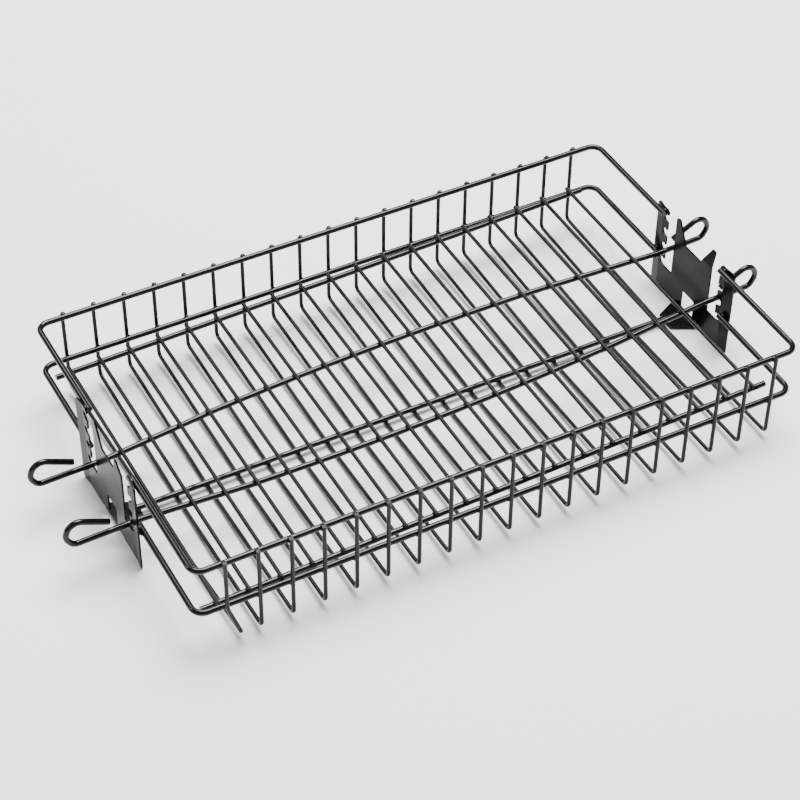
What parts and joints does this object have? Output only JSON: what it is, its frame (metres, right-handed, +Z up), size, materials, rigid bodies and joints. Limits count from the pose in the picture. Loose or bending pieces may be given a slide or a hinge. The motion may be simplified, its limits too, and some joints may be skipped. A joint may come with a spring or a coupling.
{
  "type": "grill basket",
  "caption": "Flat rotisserie grill basket: a welded wire tray with notched end plates for a spit and a drop-in wire lid with springy looped handles.",
  "frame": {"origin": "on the ground plane, under the middle of the welded tray", "axes": "+X along the basket and the spit, towards the end where the lid sits higher; +Y across the basket, to its rear; +Z up"},
  "size_m": [0.5988, 0.302, 0.085],
  "materials": {
    "coated_rod": "glossy black non-stick coating",
    "coated_wire": "glossy black non-stick coating",
    "coated_sheet": "satin black non-stick coating"
  },
  "bodies": {
    "basket": {"upper_rim_rear": "coated_rod", "upper_rim_front": "coated_rod", "lower_rim_rear": "coated_rod", "lower_rim_front": "coated_rod", "basket_wire_01": "coated_wire", "basket_wire_02": "coated_wire", "basket_wire_03": "coated_wire", "basket_wire_04": "coated_wire", "basket_wire_05": "coated_wire", "basket_wire_06": "coated_wire", "basket_wire_07": "coated_wire", "basket_wire_08": "coated_wire", "basket_wire_09": "coated_wire", "basket_wire_10": "coated_wire", "basket_wire_11": "coated_wire", "basket_wire_12": "coated_wire", "basket_wire_13": "coated_wire", "basket_wire_14": "coated_wire", "basket_wire_15": "coated_wire", "basket_wire_16": "coated_wire", "basket_wire_17": "coated_wire", "basket_wire_18": "coated_wire", "basket_wire_19": "coated_wire", "bottom_rod": "coated_rod", "end_plate_left": "coated_sheet", "end_plate_right": "coated_sheet"},
    "lid": {"lid_bar_rear": "coated_rod", "lid_bar_front": "coated_rod", "handle_rod_rear": "coated_rod", "handle_rod_front": "coated_rod", "lid_wire_01": "coated_wire", "lid_wire_02": "coated_wire", "lid_wire_03": "coated_wire", "lid_wire_04": "coated_wire", "lid_wire_05": "coated_wire", "lid_wire_06": "coated_wire", "lid_wire_07": "coated_wire", "lid_wire_08": "coated_wire", "lid_wire_09": "coated_wire", "lid_wire_10": "coated_wire", "lid_wire_11": "coated_wire", "lid_wire_12": "coated_wire", "lid_wire_13": "coated_wire", "lid_wire_14": "coated_wire", "lid_wire_15": "coated_wire", "lid_wire_16": "coated_wire", "lid_wire_17": "coated_wire", "lid_wire_18": "coated_wire", "lid_wire_19": "coated_wire"},
    "grip_left_rear": {"grip_left_rear": "coated_rod"},
    "grip_left_front": {"grip_left_front": "coated_rod"},
    "grip_right_rear": {"grip_right_rear": "coated_rod"},
    "grip_right_front": {"grip_right_front": "coated_rod"}
  },
  "joints": [
    {"name": "lid_lift", "type": "slide", "parent": "basket", "child": "lid", "axis": [0, 0, 1], "range_m": [0, 0.062]},
    {"name": "grip_left_rear_spring", "type": "hinge", "parent": "lid", "child": "grip_left_rear", "pos_m": [-0.15653, 0.04252, 0.03276], "axis": [-0.0296, 0, 0.9996], "range_deg": [-2, 0]},
    {"name": "grip_left_front_spring", "type": "hinge", "parent": "lid", "child": "grip_left_front", "pos_m": [-0.15653, -0.04252, 0.03276], "axis": [-0.0296, 0, 0.9996], "range_deg": [0, 2]},
    {"name": "grip_right_rear_spring", "type": "hinge", "parent": "lid", "child": "grip_right_rear", "pos_m": [0.14453, 0.04252, 0.04168], "axis": [-0.0296, 0, 0.9996], "range_deg": [0, 2.2]},
    {"name": "grip_right_front_spring", "type": "hinge", "parent": "lid", "child": "grip_right_front", "pos_m": [0.14453, -0.04252, 0.04168], "axis": [-0.0296, 0, 0.9996], "range_deg": [-2.2, 0]}
  ]
}
